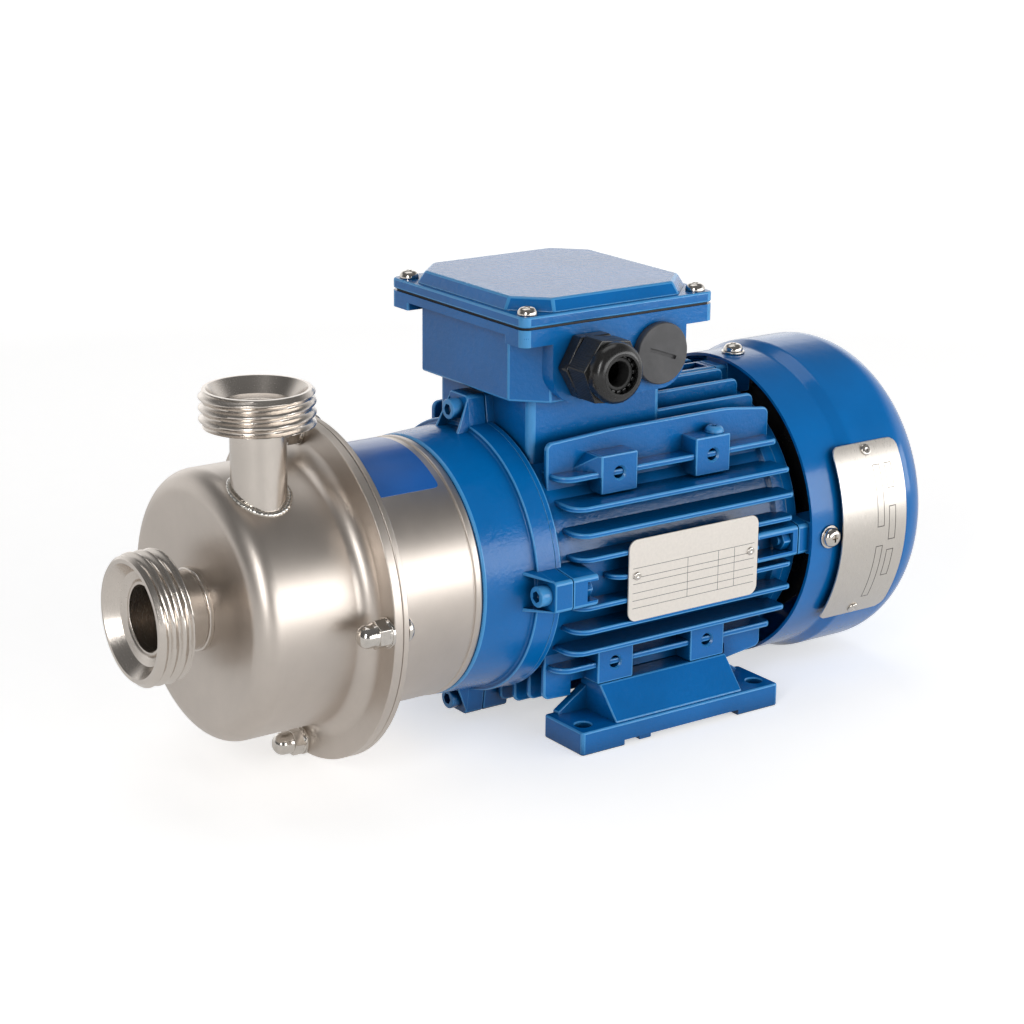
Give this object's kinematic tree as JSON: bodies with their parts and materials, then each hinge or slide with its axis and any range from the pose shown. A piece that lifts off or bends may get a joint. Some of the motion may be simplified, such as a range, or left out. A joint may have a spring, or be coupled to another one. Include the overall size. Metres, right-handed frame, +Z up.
{
  "type": "sanitary centrifugal pump with flange motor",
  "caption": "Close-coupled stainless centrifugal pump with round-thread unions, lantern and finned foot motor with terminal box and fan cover.",
  "frame": {"origin": "centre of the four foot bolt holes, on the floor under the feet", "axes": "+X along the shaft from the suction port towards the fan, +Z up, the nameplate and cable gland face -Y"},
  "size_m": [0.3512, 0.1404, 0.1833],
  "materials": {
    "stainless_satin": "satin blasted and brushed stainless sheet",
    "stainless_machined": "turned stainless",
    "fastener_steel": "bright plated",
    "bearing_steel": "ground",
    "blue_paint": "gloss paint on a casting",
    "blue_cover_paint": "gloss paint on pressed sheet",
    "plate_cream": "satin anodised, bare",
    "plate_steel": "satin, bare",
    "blue_label": "gloss film",
    "black_plastic": "moulded polyamide",
    "grey_plastic": "moulded polyamide",
    "block_plastic": "moulded thermoset",
    "black_rubber": "matt",
    "white_rubber": "matt",
    "seal_face": "lapped carbon and carbide",
    "core_steel": "laminated sheet",
    "cast_aluminium": "die-cast",
    "copper_winding": "varnished wire",
    "brass": "bright"
  },
  "bodies": {
    "housing": {"suction_union": "stainless_machined", "discharge_union": "stainless_machined", "casing": "stainless_satin", "casing_gasket": "white_rubber", "back_cover": "stainless_satin", "seal_seat": "seal_face", "lantern": "stainless_satin", "lantern_label": "blue_label", "flange_bolts": "fastener_steel", "flange_washers": "fastener_steel", "flange_cap_nuts": "fastener_steel", "lantern_screws": "fastener_steel", "drive_endshield": "blue_paint", "stator_frame": "blue_paint", "rear_endshield": "blue_paint", "tie_screws": "blue_paint", "tie_nuts": "blue_paint", "foot_left": "blue_paint", "foot_right": "blue_paint", "foot_screws": "fastener_steel", "earth_screw": "blue_paint", "bearing_outer_rings": "bearing_steel", "wave_spring": "bearing_steel", "shaft_seal": "black_rubber", "stator_core": "core_steel", "end_windings": "copper_winding", "fan_cover": "blue_cover_paint", "cover_screws": "fastener_steel", "cover_plate": "plate_steel", "cover_plate_rivets": "plate_steel", "nameplate": "plate_cream", "nameplate_rivets": "plate_steel", "box_gasket": "black_rubber", "terminal_box": "blue_paint", "box_screws": "fastener_steel", "lid_gasket": "black_rubber", "terminal_box_lid": "blue_paint", "lid_screws": "fastener_steel", "gland_body": "black_plastic", "gland_cap_nut": "black_plastic", "gland_seal": "black_rubber", "blanking_plug": "grey_plastic", "terminal_block": "block_plastic", "terminal_studs": "brass", "terminal_links": "brass"},
    "rotor": {"motor_shaft": "bearing_steel", "rotor_core": "cast_aluminium", "pump_shaft": "stainless_machined", "clamp_screws": "fastener_steel", "impeller": "stainless_satin", "impeller_nut": "stainless_machined", "seal_head": "seal_face", "seal_bellows": "black_rubber", "fan": "black_plastic", "fan_circlip": "bearing_steel", "shaft_key": "fastener_steel", "bearing_inner_rings": "bearing_steel"},
    "front_cage": {"front_ball_set": "bearing_steel"},
    "rear_cage": {"rear_ball_set": "bearing_steel"}
  },
  "joints": [
    {"name": "rotor_spin", "type": "hinge", "parent": "housing", "child": "rotor", "pos_m": [0, 0, 0.071], "axis": [1, 0, 0], "continuous": true},
    {"name": "front_cage_spin", "type": "hinge", "parent": "housing", "child": "front_cage", "pos_m": [-0.081, 0, 0.071], "axis": [1, 0, 0], "continuous": true},
    {"name": "rear_cage_spin", "type": "hinge", "parent": "housing", "child": "rear_cage", "pos_m": [0.0685, 0, 0.071], "axis": [1, 0, 0], "continuous": true}
  ],
  "couplings": [
    {"joint": "front_cage_spin", "follows": "rotor_spin", "ratio": 0.381},
    {"joint": "rear_cage_spin", "follows": "rotor_spin", "ratio": 0.381}
  ]
}
